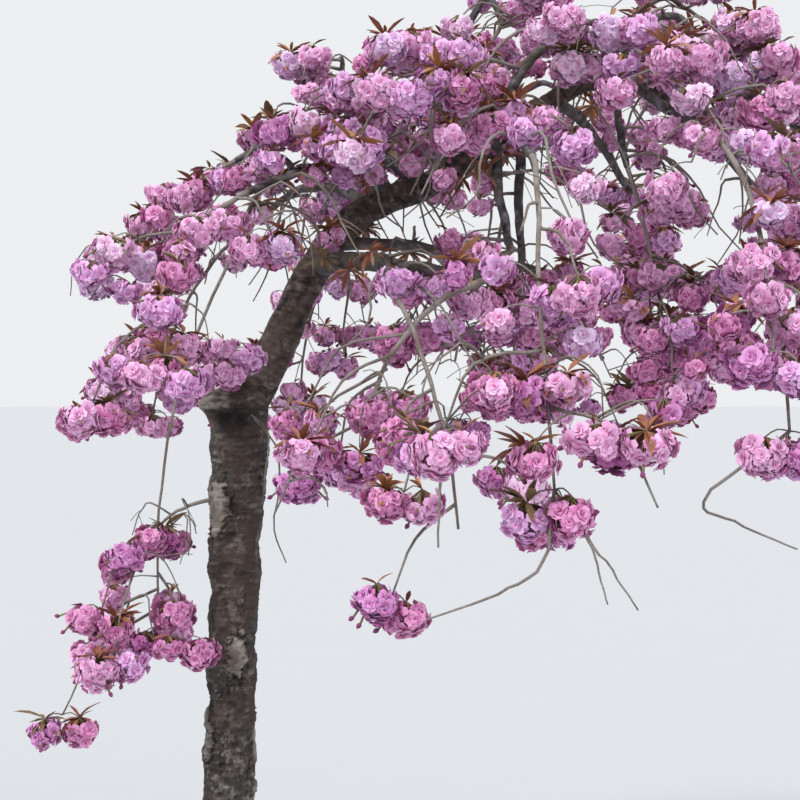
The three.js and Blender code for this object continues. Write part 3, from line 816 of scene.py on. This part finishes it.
def trunk_piece(material):
    sides, rows = TRUNK_GRID
    turn = 2 * np.pi * np.arange(sides) / sides
    z = np.linspace(0, TRUNK_HEIGHT, rows)
    dome = np.clip((z - DOME_FOOT) / (TRUNK_HEIGHT + 4 - DOME_FOOT), 0, 1)
    height, angle = np.meshgrid(z, turn, indexing="ij")
    radius = trunk_radius(height, angle) * np.sqrt(1 - dome**2)[:, None]
    out = np.stack([np.cos(angle), np.sin(angle), np.zeros_like(angle)], axis=-1).reshape(-1, 3)
    bare = trunk_centre(height).reshape(-1, 3) + out * radius.reshape(-1, 1)
    rise, shade = trunk_bark(bare, angle.ravel())
    settled = np.clip(np.minimum(bare[:, 2] / 4, (TRUNK_HEIGHT - bare[:, 2]) / 30 + 0.2), 0, 1)
    points = bare + out * (rise * settled)[:, None]
    return make_piece("trunk_bark", [(points, grid_faces(rows, sides), 0)], [material], shade)


def rough_limb(line, radii, sides, depth):
    """A limb's chunk and shades: rings of pores, knobs, flakes and cracks, with painted shade in the
    cracks, and a collar at its foot.
    """
    lengths = lengths_of(line)
    collar = 1 + COLLAR["size"] * np.exp(-lengths / (COLLAR["reach"] * radii[0]))
    foot = np.clip(0.02 + lengths / radii[0], 0, 1)
    points, faces, slot = tube(line, radii * collar * np.sqrt(foot * (2 - foot)), sides)
    centres = np.repeat(line, sides, axis=0)
    out = (points - centres) / norms(points - centres)[:, None]
    run = np.repeat(lengths, sides)
    forms = {
        "swells": noise_field(points, 42),
        "rings": noise_field(np.column_stack([run / 7, out[:, 0] * 1.6, out[:, 2] * 1.6]), 1),
        "flakes": noise_field(points, 16, 3),
        "cracks": np.maximum(0, 1 - 9 * abs(noise_field(points + 200, 40, 3))) ** 2,
    }
    rise = depth * weighted(forms, LIMB_RISE)
    return (points + out * rise[:, None], faces, 0), weighted(forms, LIMB_SHADE, 0.45)


def main_limb_piece(line, material):
    sides, rows = MAIN_GRID
    share = np.linspace(0, 1, rows)
    radii = np.interp(share, MAIN_SPLITS, MAIN_RADII)
    chunk, shade = rough_limb(along(line, share), radii, sides, 2.6)
    return make_piece("main_limb_bark", [chunk], [material], shade)


def bough_pieces(limbs, material):
    chunks = []
    shades = []
    for number, (name, rule) in enumerate(BOUGHS.items()):
        line = limbs[name]["fine"]
        share = np.linspace(0, 1, len(line))
        waves = wander(np.column_stack([number * 9.1 + 0 * share, 0 * share, share * 5.5]))
        line = line + waves * BOUGH_WANDER * np.sin(np.pi * share)[:, None]
        radii = np.interp(share, [0, 1], [rule["thick"], rule["thin"]])
        chunk, shade = rough_limb(line, radii, BOUGH_GRID[0], 1.3)
        limbs[name]["fine"] = line
        chunks.append(chunk)
        shades.append(shade)
    return make_piece("boughs_bark", chunks, [material], np.concatenate(shades))


# Blossom, leaves and twigs

# Petals: places as shares of length and width, faces, and how many tints deeper each face is
RUFFLED_PETAL = {
    "points": [(0, 0), (0.56, -0.5), (0.56, 0.5), (1, -0.28), (1, 0.3)],
    "faces": [(0, 1, 2), (1, 3, 4), (1, 4, 2)],
    "deeper": [1, 0, 0],
}
FOLDED_PETAL = {
    "points": [(0, 0), (0.6, -0.5), (0.6, 0.5), (1, 0)],
    "faces": [(0, 1, 2), (1, 3, 2)],
    "deeper": [1, 0],
}
WHORLS = [  # each with its height above the foot, its petals' tilt at foot and tip, and length and width
    {"petal": RUFFLED_PETAL, "count": 6, "height": 0, "tilt": (10, -40), "size": (1.0, 0.98)},
    {"petal": RUFFLED_PETAL, "count": 6, "height": 0.12, "tilt": (38, -8), "size": (0.88, 0.84)},
    {"petal": FOLDED_PETAL, "count": 5, "height": 0.24, "tilt": (50, 12), "size": (0.68, 0.76)},
    {"petal": FOLDED_PETAL, "count": 4, "height": 0.4, "tilt": (30, 62), "size": (0.45, 0.62)},
]
FLOWER_FOOT = 0.03  # from a flower's axis to a petal's foot
PETAL_CUP = 0.22


def petal_points(whorl, turn, rng):
    """One petal about a flower's axis. It sets out at one tilt and opens to another, and its sides cup."""
    length, width = whorl["size"]
    length *= rng.uniform(0.82, 1.08)
    foot = radians(whorl["tilt"][0] + rng.uniform(-10, 10))
    tip = radians(whorl["tilt"][1] + rng.uniform(-20, 20))
    twist = rng.uniform(-0.4, 0.4)
    points = []
    for share, across in whorl["petal"]["points"]:
        tilt = foot + (tip - foot) * share * 0.5
        lift = foot + (tip - foot) * share
        side = across * width * rng.uniform(0.92, 1.08)
        cup = PETAL_CUP * abs(across) * 2 * share + twist * across * share
        cup += rng.uniform(-0.04, 0.04) * share
        reach = FLOWER_FOOT + length * share * cos(tilt) - cup * sin(lift) * 0.6
        rise = whorl["height"] + length * share * sin(tilt) + cup * cos(lift) * 0.6
        points.append((reach * cos(turn) - side * sin(turn), reach * sin(turn) + side * cos(turn), rise))
    return points


def flower_kind(seed):
    """A double flower that faces up, with a radius of about 1, as points, faces and shades."""
    rng = random.Random(seed)
    points = []
    faces = []
    shades = []
    for number, whorl in enumerate(WHORLS):
        petal = whorl["petal"]
        for k in range(whorl["count"]):
            turn = 2 * pi * (k + 0.5 * number + rng.uniform(-0.16, 0.16)) / whorl["count"]
            base = len(points)
            points += petal_points(whorl, turn, rng)
            faces += [[base + corner for corner in face] for face in petal["faces"]]
            darker = rng.random() < 0.25
            shades += [deeper + darker for deeper in petal["deeper"]]
    return np.array(points), np.array(faces), np.array(shades)


def bud_kind():
    """A bud that points up, with a length of 1."""
    rings = [(0, 0.08), (0.3, 0.34), (0.65, 0.36), (1, 0.06)]
    turn = 2 * np.pi * np.arange(5) / 5
    points = [(radius * cos(t), radius * sin(t), z) for z, radius in rings for t in turn]
    faces = grid_faces(len(rings), 5)
    return np.array(points), faces, np.zeros(len(faces), int)


def leaf_kind(fold, droop):
    """A pointed leaf along +X with a length of 1, folded up from its midrib and bent down to its tip."""
    stations = [(0.26, 0.105), (0.55, 0.14), (0.82, 0.085)]
    def at(x, y):
        return (x, y * cos(fold), abs(y) * sin(fold) - droop * x * x)
    points = [at(0, 0)] + [at(x, y * side) for x, y in stations for side in (1, 0, -1)] + [at(1, 0)]
    faces = [(0, 2, 1), (0, 3, 2), (7, 8, 10), (8, 9, 10)]
    for a in (1, 4):
        faces += [(a, a + 1, a + 4), (a, a + 4, a + 3), (a + 1, a + 2, a + 5), (a + 1, a + 5, a + 4)]
    return np.array(points), np.array(faces), np.zeros(len(faces), int)


def facing(way, spin):
    """The turn that stands +Z along a way."""
    side = unit(np.cross(way, (0.31, 0.52, 0.79)))
    other = np.cross(way, side)
    first = side * cos(spin) + other * sin(spin)
    return np.stack([first, np.cross(way, first), way], axis=1)


def joined_copies(rows, kinds):
    """A chunk for each kind and tone in rows of a kind's number, turn, place and tone."""
    chunks = []
    for number, (points, faces, shades) in enumerate(kinds):
        for tone in sorted({row[3] for row in rows}):
            mine = [row[1:3] for row in rows if (row[0], row[3]) == (number, tone)]
            if mine:
                chunks.append(copies(points, faces, shades + tone, *columns(mine)))
    return chunks


def tint_at(place):
    """Sprays high up and to the outside are paler, as painted light, and low or inner ones deeper, as
    painted shade, with a random spread and a lilac or pink family.
    """
    height = (place[2] - TINT["height"]) / TINT["span"]
    out = hypot(place[0] - CROWN_AXIS, place[1]) / CROWN_REACH
    tint = TINT["middle"] - height - 0.7 * (out - 0.6) + chance.gauss(0, TINT["spread"])
    tint = int(max(0, min(TINT["deepest"], tint)))
    return tint + chance.choice((0, len(LILAC_SHADES), len(LILAC_SHADES)))


# What grows on the limbs is collected here, and joined into pieces at the end
all_sprays = []
all_flowers = {}
all_buds = {}
all_stalks = []
all_leaves = []
all_twigs = []


def add_twig(corners, first, last, sides=5, steps=None):
    line = spline(corners, steps or 4 * (len(corners) - 1))
    wave = wander(line / 23)
    ends = np.sin(np.pi * np.linspace(0, 1, len(line)))[:, None]
    line = line + wave * ends * min(5, 0.03 * lengths_of(line)[-1])
    all_twigs.append(tube(line, np.linspace(first, last, len(line)), sides))
    return line


def spray_centres():
    return np.array([spray["centre"] for spray in all_sprays])


def side_spray(group, foot, tip):
    """A finer twig or spur with a spray at its tip, where no other spray is too near."""
    size = uniform(*SIDE_SIZE)
    centre = tip - (0, 0, size * uniform(*SPRAY_DROP))
    crowded = norms(spray_centres() - centre).min() < SPRAY_APART
    if not crowded and not is_open(centre) and in_crown(centre):
        add_twig(arc(foot, tip, 10), *SPUR_TWIG)
        add_spray(group, tip, centre, size)


def add_spray(group, root, centre, size):
    """A cluster that hangs from its root about its centre, under a few leaves or a tuft of them."""
    tint = tint_at(centre)
    all_sprays.append({"group": group, "root": root, "centre": centre, "size": size, "tint": tint})
    add_tuft(root, TUFT if chance.random() < LEAFY_SHARE else FEW_LEAVES)


def open_flowers():
    """The flowers and buds of all sprays, on the outside of each, but not where another hides them."""
    centres = spray_centres()
    reaches = FLOWER_OUT * np.array([spray["size"] for spray in all_sprays])
    for number, spray in enumerate(all_sprays):
        others = reaches * HIDDEN
        others[number] = 0
        stretch = np.array([uniform(*limits) for limits in SPRAY_STRETCH])
        count = round(FLOWERS * spray["size"] ** 2)
        phase = uniform(0, 360)
        flowers = all_flowers.setdefault(spray["group"], [])
        for i in range(count):
            rise = -1 + 1.5 * (i + 0.5) / count + uniform(-0.1, 0.1)
            pitch = degrees(asin(max(-1, min(1, rise))))
            way = heading(phase + GOLDEN_TURN * i + uniform(-14, 14), pitch)
            place = spray["centre"] + way * stretch * reaches[number] * uniform(0.85, 1.12)
            if (norms(centres - place) < others).any():
                continue
            radius = uniform(*FLOWER_RADIUS)
            aside = np.array([uniform(-FLOWER_LOOK, FLOWER_LOOK) for axis in range(3)])
            looks = unit(way + aside + (0, 0, -0.1))
            back = place - looks * radius * FLOWER_BACK
            turn = facing(looks, uniform(0, 6.28)) * radius
            flowers.append((chance.randrange(FLOWER_KINDS), turn, back, spray["tint"]))
            all_stalks.append((spray["root"], back, looks, radius))
        for i in range(chance.randint(0, 2)):
            way = heading(uniform(0, 360), uniform(-60, 20))
            place = spray["centre"] + way * stretch * (BUD_OUT * reaches[number])
            buds = all_buds.setdefault(spray["group"], [])
            buds.append((0, facing(way, 0) * BUD_LENGTH, place, BUD_SHADE))
            all_stalks.append((spray["root"], place, way, BUD_LENGTH))


def add_tuft(root, form):
    count = chance.randint(*form["count"])
    phase = uniform(0, 360)
    tone = chance.choice((0, 0, 1, 2))
    for i in range(count):
        way = heading(phase + GOLDEN_TURN * i + uniform(-25, 25), uniform(-50, 50))
        length = uniform(*form["length"])
        up = unit(np.array([uniform(-0.35, 0.35), uniform(-0.35, 0.35), 1]))
        across = unit(np.cross(up, way))
        turn = np.stack([way, across, np.cross(way, across)], axis=1)
        all_leaves.append((chance.randrange(len(LEAF_FORMS)), turn * length, root, tone))


def stalk_chunk():
    roots, backs, ways, sizes = columns(all_stalks)
    rims = backs + ways * (0.16 * sizes)[:, None]
    runs = backs - roots
    side = np.cross(runs, (0.21, 0.34, 0.92))
    side /= norms(side)[:, None]
    other = np.cross(runs / norms(runs)[:, None], side)
    rings = []
    for centre, radius in ((roots, STALK_RADIUS), (rims, 3 * STALK_RADIUS)):
        for k in range(3):
            turn = 2 * pi * k / 3
            rings.append(centre + radius * (side * cos(turn) + other * sin(turn)))
    points = np.stack(rings, axis=1)
    corners = grid_faces(2, 3)[:6] + 6 * np.arange(len(points))[:, None, None]
    return points.reshape(-1, 3), corners.reshape(-1, 3), 0


def in_crown(place):
    """Whether a place is well within the crown's reach, and above the ground."""
    return place[2] > 0 and (place[:2] > CROWN_LOW).all() and (place[:2] < CROWN_HIGH).all()


def is_open(place):
    """Whether a place is in one of the clear runs through the crown."""
    share = (place[1] + OPEN_DEPTH) / (2 * OPEN_DEPTH)
    for front, back in OPENINGS:
        x, height, wide, tall = np.array(front) + (np.array(back) - front) * share
        if hypot((place[0] - x) / wide, (place[2] - height) / tall) < 1:
            return True
    return False


def dress_ball(group, ball, sprays):
    large = ball["radius"] > 0.7 * BALL_RADIUS
    count = sprays if large else 1
    phase = uniform(0, 360)
    for k in range(count):
        offset = heading(phase + 360 * k / count, 0) * SPRAY_SPREAD * large
        centre = ball["centre"] + (offset + (0, 0, uniform(-0.35, 0.2))) * ball["radius"]
        root = centre + (0, 0, uniform(*SPRAY_DROP))
        if not is_open(centre):
            add_twig(arc(ball["place"], root, 8), *SPRAY_TWIG)
            add_spray(group, root, centre, uniform(*SPRAY_SIZE))


def dress_mass(mass, growth):
    group = group_of(mass["name"])
    gap = mass["rule"]["gap"]
    stem = add_twig(mass["line"], mass["radius"], 2.6, 6)
    twigs = [add_twig(twig, 3.8, 1.9) for twig in mass["twigs"]]
    for ball in mass["balls"]:
        dress_ball(group, ball, LOOSE_SPRAYS if gap > LOOSE_GAP else SPRAYS_A_BALL)
    for line, bare in [(stem, mass["rule"]["bare"])] + [(twig, 0.15) for twig in twigs]:
        for k in range(int(lengths_of(line)[-1] / gap)):
            foot = along(line, uniform(bare, 1))
            azimuth = mass["azimuth"] + chance.gauss(0, SIDE_TWIG["spread"])
            tip = foot + heading(azimuth, uniform(*SIDE_TWIG["pitch"])) * uniform(*SIDE_TWIG["length"])
            if growth.fits(mass, tip[None] - (0, 0, SPRAY_DROP[0]), SPRAY_ROOM)[0]:
                side_spray(group, foot, tip)
    for k in range(BARE_TWIGS):
        add_bare_twig(chance.choice([stem, *twigs]), BARE_TWIG)


def add_bare_twig(line, form):
    """A thin twig that hangs with nothing on it but a finer fork or two."""
    first, last = form["radii"]
    azimuth = uniform(0, 360)
    length = uniform(*form["length"])
    corners = [along(line, uniform(0.15, 0.9))]
    for pitch in form["pitches"]:
        way = heading(azimuth + uniform(-40, 40), pitch + uniform(-12, 12))
        corners.append(corners[-1] + way * length / len(form["pitches"]))
    if not in_crown(corners[-1]):
        return
    twig = add_twig(corners, first, last, 4, 9)
    for k in range(chance.randint(0, 2)):
        foot = along(twig, uniform(0.3, 0.8))
        tip = foot + heading(azimuth + uniform(-90, 90), uniform(-80, 10)) * uniform(0.15, 0.35) * length
        add_twig(arc(foot, tip, 4), 0.8 * last, 1.1, 3, 4)


def dress_limb(name, line):
    """Short spurs along a limb: tufts of leaves on the inner ones, and a spray on each of the others."""
    steps = int(lengths_of(line)[-1] / SPUR_GAP)
    for k in range(1, steps):
        share = (k + uniform(-0.3, 0.3)) / steps
        foot = along(line, share)
        way = heading(uniform(0, 360), uniform(15 if name in MAIN_NAMES else -35, 75))
        tip = foot + way * uniform(*SPUR_LENGTH)
        if share > uniform(0.35, 0.6):
            side_spray(group_of(name), foot, tip)
        elif k % 3 == 0:
            add_twig(arc(foot, tip, 0), *TUFT_TWIG)
            add_tuft(tip, TUFT)
    for k in range(HANGING_TWIGS):
        add_bare_twig(line, HANGING_TWIG)


def add_branches(name, line):
    """Side branches that fan out level from a bough, with sprays along them."""
    steps = int(lengths_of(line)[-1] / BRANCH_GAP)
    run = line[-1] - line[0]
    level = degrees(atan2(run[1], run[0]))
    for k in range(max(1, round(BARE_SHARE * steps)), steps):
        corners = [along(line, (k + uniform(0, 0.6)) / steps)]
        length = uniform(*BRANCH_LENGTH)
        azimuth = level + (1 if k % 2 else -1) * uniform(35, 80)
        for pitch in BRANCH_PITCHES:
            corners.append(corners[-1] + heading(azimuth + uniform(-20, 20), pitch) * length / 3)
        branch = add_twig(corners, *BRANCH_TWIG)
        for share in (0.45, 0.72, 1):
            foot = along(branch, share)
            way = heading(uniform(0, 360), uniform(-40, 40))
            side_spray(group_of(name), foot, foot + way * (uniform(20, 50) if share < 1 else 8))


def dress_main_limb(line):
    """Sprays on short spurs that stand out before the main limb, and before the graft union at its foot."""
    for share in np.linspace(*FRONT_SPURS["run"], FRONT_SPURS["count"]):
        foot = along(line, share)
        way = heading(uniform(*FRONT_SPURS["azimuth"]), uniform(*FRONT_SPURS["pitch"]))
        side_spray("top", foot, foot + way * uniform(*FRONT_SPURS["length"]))
    for centre in np.array(UNION_SPRAYS, float):
        root = centre + (0, 0, SPRAY_DROP[0])
        add_twig(arc(trunk_centre(UNION_HEIGHT + 30), root, 12), *UNION_TWIG)
        add_spray("front", root, centre, SIDE_SIZE[1])


def add_lone_twigs(lines):
    places = np.concatenate([along(line, np.linspace(0, 1, 20)) for line in lines])
    for route in LONE_ROUTES:
        nearest = norms(places - route[0]).argmin()
        add_twig([places[nearest], *np.array(route, float)], *LONE_TWIG)


def make_bark(limbs):
    """The pieces of bark, each with its slot and the nodes that it replaces."""
    trunk = bark_material("trunk_bark", "120e0d", "4c4540", "979189", "46352c", 95, (1, 1, 4.5))
    limb = bark_material("limb_bark", "1d1716", "5b4e49", "8f8480", "4d4034", 130)
    bough = bark_material("bough_bark", "262225", "605b60", "9c989d", "55503f", 190)
    return [
        (trunk_piece(trunk), "trunk_bark", ["trunk"]),
        (main_limb_piece(spline(MAIN_ROUTE, 160), limb), "trunk_bark", MAIN_NAMES),
        (bough_pieces(limbs, bough), "bough_bark", list(BOUGHS)),
    ]


def make_crown(limbs, main_line):
    """The pieces of the crown, each with its slot and the nodes that it replaces."""
    growth = Growth(limbs)
    for mass in growth.masses:
        dress_mass(mass, growth)
    for name in BOUGHS:
        dress_limb(name, limbs[name]["fine"])
        if BOUGHS[name]["thick"] > 10:
            add_branches(name, limbs[name]["fine"])
    for name in MAIN_NAMES[1:]:
        dress_limb(name, limbs[name]["line"])
    dress_main_limb(main_line)
    add_lone_twigs([rod["line"] for rod in [*limbs.values(), *growth.masses]])
    open_flowers()
    petals = [
        soft_material(f"petal_{i}", colours, 0.6, 160, 0.62, 0.15)
        for i, colours in enumerate(LILAC_SHADES + PINK_SHADES)
    ]
    leaf = [soft_material(f"leaf_{i}", colours, 0.8, 60, 0.5) for i, colours in enumerate(LEAF_SHADES)]
    stalk = soft_material("stalk", ("76784a", "84503e"), 0.8, 60, 0.6)
    twig = bark_material("twig_bark", "3b342f", "8b837d", "b5aeab", "6b5e50", 260)
    kinds = [flower_kind(seed) for seed in range(FLOWER_KINDS)]
    pieces = []
    for group in ("top", "inner", "front", "back"):
        nodes = [f"blossom_{name}" for name in MASSES if group_of(name) == group]
        chunks = joined_copies(all_flowers[group], kinds)
        chunks += joined_copies(all_buds[group], [bud_kind()])
        pieces.append((make_piece(f"blossom_{group}", chunks, petals), "blossom", nodes))
    masses = [f"blossom_{name}" for name in MASSES]
    leaves = joined_copies(all_leaves, [leaf_kind(*form) for form in LEAF_FORMS])
    tones = np.full(sum(len(chunk[0]) for chunk in all_twigs), 0.55)
    return pieces + [
        (make_piece("leaves", leaves, leaf), "leaf", masses),
        (make_piece("stalks", [stalk_chunk()], [stalk]), "leaf", masses),
        (make_piece("twigs", all_twigs, [twig], tones), "twig", masses),
    ]


def make_tree():
    main_line = spline(MAIN_ROUTE, 40)
    limbs = grow_limbs(main_line)
    for piece, slot, nodes in make_bark(limbs) + make_crown(limbs, main_line):
        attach(piece, "root")
        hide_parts(*nodes)


# Floor, light and camera

def make_stage():
    bpy.ops.mesh.primitive_circle_add(vertices=96, radius=400, fill_type="NGON")
    floor = bpy.context.object
    floor.name = "floor"
    material, tree, shader = new_material("floor", 0.9)
    shade = mix_node(tree, noise_node(tree, 3), srgb("bcbec1"), srgb("babcbf"))
    tree.links.new(shade, shader.inputs["Base Color"])
    floor.data.materials.append(material)


def add_sun(name, azimuth, pitch, strength, spread, colour):
    data = bpy.data.lights.new(name, "SUN")
    data.energy = strength
    data.angle = radians(spread)
    data.color = colour
    turn = Vector(heading(azimuth, pitch)).to_track_quat("Z", "Y")
    make_object(name, data).rotation_euler = turn.to_euler()


def make_light():
    world = bpy.data.worlds.new("sky")
    world.use_nodes = True
    background = world.node_tree.nodes["Background"]
    background.inputs["Color"].default_value = (0.96, 0.98, 1, 1)
    background.inputs["Strength"].default_value = 0.88
    bpy.context.scene.world = world
    add_sun("key", 235, 48, 2.2, 16, (1, 0.99, 0.98))
    add_sun("fill", 320, 25, 1.05, 50, (0.95, 0.97, 1))


CAMERA = {"place": (0.433, -3.8, 1.6), "half_view": 0.2466, "sensor": 36}


def make_camera():
    data = bpy.data.cameras.new("camera")
    data.sensor_width = CAMERA["sensor"]
    data.lens = CAMERA["sensor"] / 2 / CAMERA["half_view"]
    camera = make_object("camera", data)
    camera.location = CAMERA["place"]
    camera.rotation_euler = (pi / 2, 0, 0)
    bpy.context.scene.camera = camera


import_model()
bpy.context.scene.view_settings.view_transform = "Standard"
make_camera()
make_light()
make_stage()
make_tree()
